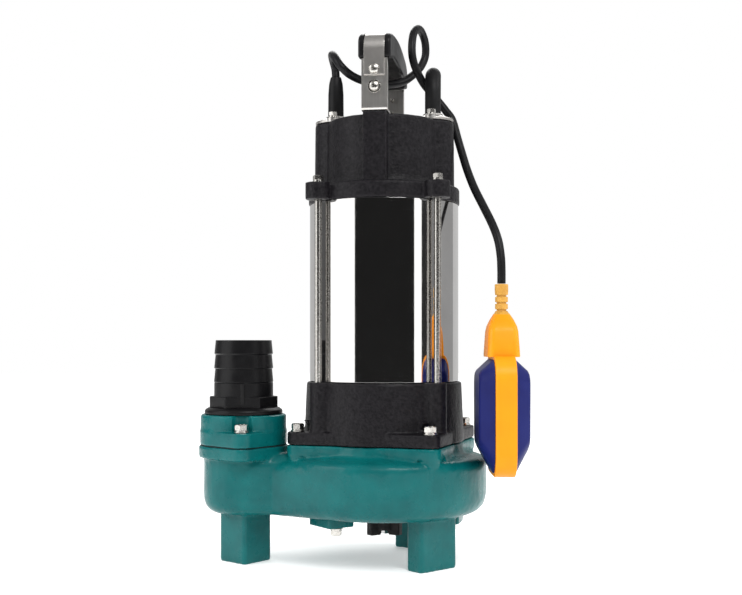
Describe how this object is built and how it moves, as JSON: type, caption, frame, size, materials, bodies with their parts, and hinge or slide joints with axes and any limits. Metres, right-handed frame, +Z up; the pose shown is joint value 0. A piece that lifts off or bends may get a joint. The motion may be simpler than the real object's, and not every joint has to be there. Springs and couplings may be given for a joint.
{
  "type": "submersible sump pump",
  "caption": "Upright submersible sewage pump: cast volute on three feet, side discharge with hose tail, polished motor barrel, carrying handle, float switch on its cable and a mains lead.",
  "frame": {"origin": "on the ground under the feet, in the middle of the pump's box without its free cords", "axes": "+Z up along the motor shaft, -X towards the discharge and hose tail, +X towards the float, -Y towards the front"},
  "size_m": [0.283, 0.2213, 0.4879],
  "materials": {
    "green_paint": "semi-gloss teal paint over a sand-cast surface",
    "black_casting": "black painted sand casting with a rough grain",
    "bare_iron": "bare cast iron",
    "black_plastic": "black moulded plastic with a slight gloss",
    "gasket": "dark fibre gasket",
    "mirror_steel": "mirror-polished stainless steel",
    "brushed_steel": "stainless sheet with a fine brushed grain",
    "ground_steel": "ground steel",
    "capacitor_can": "drawn aluminium can",
    "ceramic": "smooth ceramic seal face",
    "lamination": "stack of electrical steel sheets",
    "copper": "lacquered copper winding",
    "float_blue": "moulded blue plastic with a soft gloss",
    "float_yellow": "moulded yellow-orange plastic with a soft gloss",
    "black_rubber": "moulded black rubber",
    "cable_rubber": "black rubber cable sheath",
    "zinc_steel": "bright zinc-plated or stainless fasteners"
  },
  "bodies": {
    "pump": {"volute_casing": "green_paint", "suction_cover": "green_paint", "suction_bolt_1": "zinc_steel", "suction_bolt_2": "zinc_steel", "suction_bolt_3": "zinc_steel", "discharge_gasket": "gasket", "discharge_flange": "green_paint", "hose_tail": "black_plastic", "discharge_bolt_front": "zinc_steel", "discharge_bolt_rear": "zinc_steel", "oil_housing": "black_casting", "casing_bolt_1": "zinc_steel", "casing_bolt_2": "zinc_steel", "casing_bolt_3": "zinc_steel", "casing_bolt_4": "zinc_steel", "seal_seat": "ceramic", "lower_bearing": "ground_steel", "stator_core": "lamination", "stator_winding": "copper", "motor_barrel": "mirror_steel", "top_cover": "black_casting", "tie_bolt_1": "zinc_steel", "tie_bolt_2": "zinc_steel", "tie_bolt_3": "zinc_steel", "tie_bolt_4": "zinc_steel", "upper_bearing": "ground_steel", "capacitor": "capacitor_can", "handle_bracket_front": "brushed_steel", "handle_bracket_rear": "brushed_steel", "bracket_bolt_front": "zinc_steel", "bracket_bolt_rear": "zinc_steel", "handle_screw_front_lower": "zinc_steel", "handle_screw_front_upper": "zinc_steel", "handle_screw_rear_lower": "zinc_steel", "handle_screw_rear_upper": "zinc_steel", "handle_grip": "black_plastic", "handle_strap": "mirror_steel", "float_gland_plate": "brushed_steel", "mains_gland_plate": "brushed_steel", "float_gland_screw_front": "zinc_steel", "float_gland_screw_rear": "zinc_steel", "mains_gland_screw_front": "zinc_steel", "mains_gland_screw_rear": "zinc_steel", "float_cable_boot": "black_rubber", "mains_cable_boot": "black_rubber", "float_cable_upper": "cable_rubber", "mains_cable": "cable_rubber", "mains_coil": "cable_rubber", "mains_plug": "black_rubber"},
    "rotor": {"shaft": "ground_steel", "rotor_core": "lamination", "impeller": "bare_iron", "cutter": "bare_iron", "seal_head": "ground_steel"},
    "float": {"float_cable_lower": "cable_rubber", "float_shell_left": "float_blue", "float_shell_right": "float_blue", "float_band": "float_yellow", "micro_switch": "black_plastic"},
    "ball": {"float_ball": "ground_steel"}
  },
  "joints": [
    {"name": "rotor_spin", "type": "hinge", "parent": "pump", "child": "rotor", "pos_m": [0.02347, 0.00593, 0.2], "axis": [0, 0, 1], "continuous": true},
    {"name": "float_swing", "type": "hinge", "parent": "pump", "child": "float", "pos_m": [0.08797, 0.00733, 0.3949], "axis": [-0.9038, -0.4279, 0], "range_deg": [0, 110]},
    {"name": "float_ball_roll", "type": "slide", "parent": "float", "child": "ball", "axis": [0, 0, 1], "range_m": [0, 0.018]}
  ]
}
